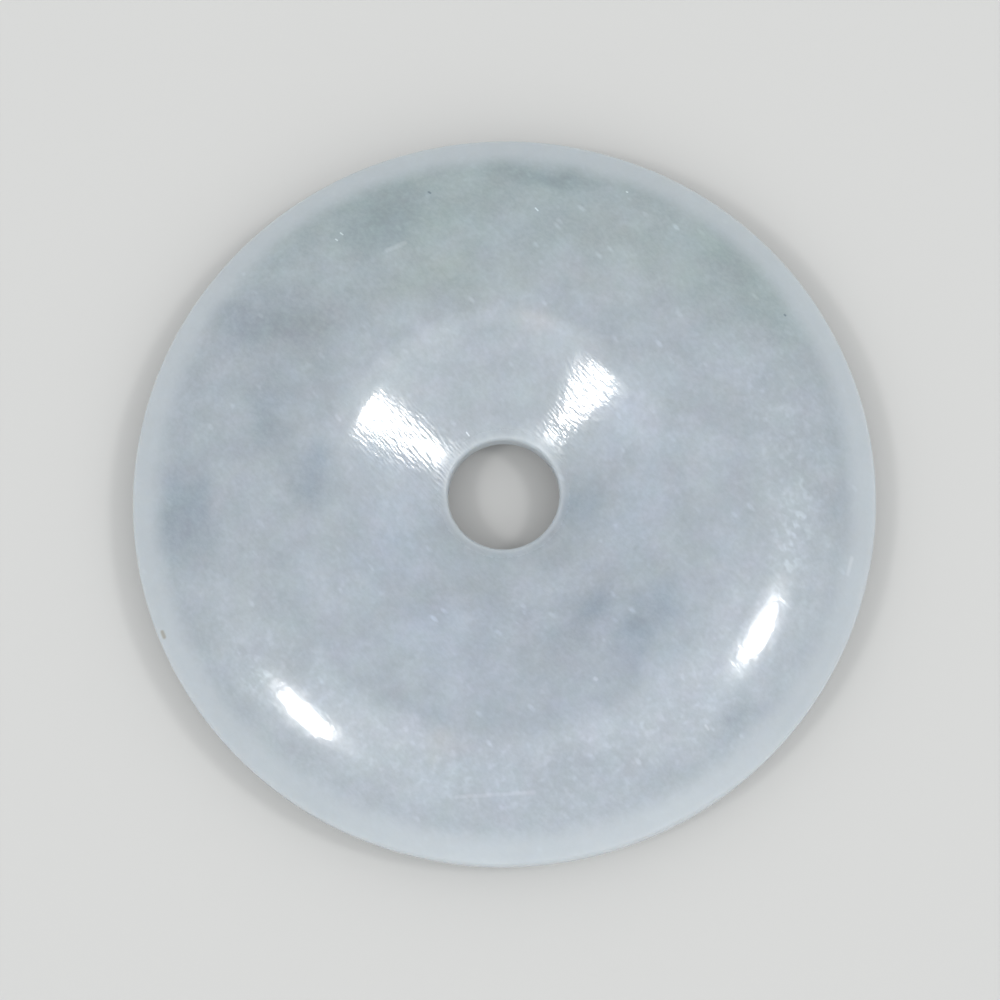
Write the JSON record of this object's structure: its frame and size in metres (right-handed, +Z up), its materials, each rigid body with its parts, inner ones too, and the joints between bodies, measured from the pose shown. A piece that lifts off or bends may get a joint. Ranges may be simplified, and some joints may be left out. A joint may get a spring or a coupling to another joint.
{
  "type": "jade bi disc",
  "caption": "Plain polished disc of pale translucent jade, with gently domed faces, a thin blunt rim and a small round cord hole at its centre.",
  "frame": {"origin": "on the disc's axis, in the plane that the crest of its underside rests on", "axes": "+Z up along the axis of the disc and of its cord hole; X and Y lie in the disc's plane and are alike"},
  "size_m": [0.05, 0.05, 0.0069],
  "materials": {
    "jade": "polished translucent jadeite, milky blue-grey white with faint darker and greenish clouds"
  },
  "bodies": {
    "root": {"jade_disc": "jade"}
  },
  "joints": []
}
